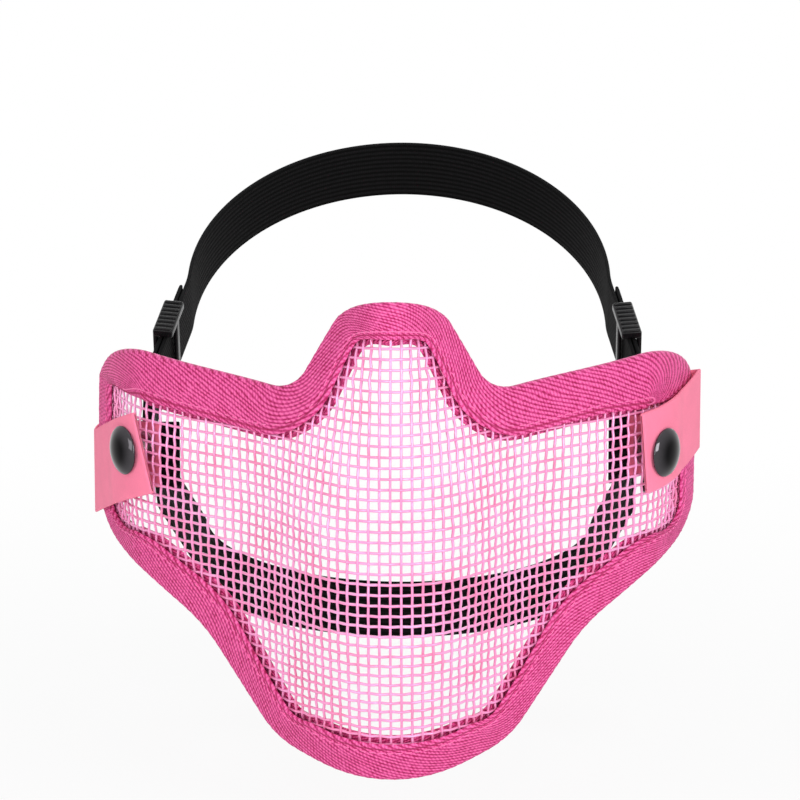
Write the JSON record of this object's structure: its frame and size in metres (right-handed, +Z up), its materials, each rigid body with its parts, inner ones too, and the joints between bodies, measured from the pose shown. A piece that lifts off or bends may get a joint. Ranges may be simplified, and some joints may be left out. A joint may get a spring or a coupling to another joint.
{
  "type": "half-face mesh mask",
  "caption": "Half-face mask of woven steel mesh with a nose arch, bound edge, folded snap tabs and two elastic head straps with sliders.",
  "frame": {"origin": "where the head is held: on the middle plane, level with the two snap fasteners, in the plane where the wings meet the temples", "axes": "+Z up, the face looks along -Y, +X to the viewer's right in a front view"},
  "size_m": [0.1902, 0.2196, 0.1608],
  "materials": {
    "mesh": "gloss powder coat on steel wire",
    "tape": "woven twill tape",
    "tab": "dense felt",
    "cap": "polished black nickel",
    "snap_steel": "plated",
    "webbing": "ribbed elastic webbing",
    "slider": "moulded"
  },
  "bodies": {
    "mask": {"mesh_shell": "mesh", "edge_tape": "tape", "tab_back_left": "webbing", "tab_back_right": "webbing", "snap_stud_left": "snap_steel", "snap_stud_right": "snap_steel", "snap_rivet_left": "snap_steel", "snap_rivet_right": "snap_steel", "strap_patch_left": "webbing", "strap_patch_right": "webbing"},
    "flap_left": {"tab_flap_left": "tab", "snap_cap_left": "cap", "snap_socket_left": "snap_steel"},
    "flap_right": {"tab_flap_right": "tab", "snap_cap_right": "cap", "snap_socket_right": "snap_steel"},
    "upper_band": {"upper_strap": "webbing", "upper_return_left": "webbing", "upper_return_right": "webbing"},
    "lower_band": {"lower_strap": "webbing"},
    "slider_left": {"slider_left": "slider"},
    "slider_right": {"slider_right": "slider"}
  },
  "joints": [
    {"name": "flap_left_open", "type": "hinge", "parent": "mask", "child": "flap_left", "pos_m": [-0.09142, 0.03471, 0], "axis": [0, 0, -1], "range_deg": [0, 110]},
    {"name": "flap_right_open", "type": "hinge", "parent": "mask", "child": "flap_right", "pos_m": [0.09142, 0.03471, 0], "axis": [0, 0, 1], "range_deg": [0, 110]},
    {"name": "upper_strap_swing", "type": "hinge", "parent": "mask", "child": "upper_band", "pos_m": [0, 0.01399, 0.005], "axis": [1, 0, 0], "range_deg": [-10, 50]},
    {"name": "lower_strap_swing", "type": "hinge", "parent": "mask", "child": "lower_band", "pos_m": [0, 0.01399, -0.007], "axis": [-1, 0, 0], "range_deg": [-10, 25]},
    {"name": "slider_left_slide", "type": "slide", "parent": "upper_band", "child": "slider_left", "axis": [0.1609, 0.9085, 0.3856], "range_m": [-0.011, 0.011]},
    {"name": "slider_right_slide", "type": "slide", "parent": "upper_band", "child": "slider_right", "axis": [-0.1609, 0.9085, 0.3856], "range_m": [-0.011, 0.011]}
  ]
}
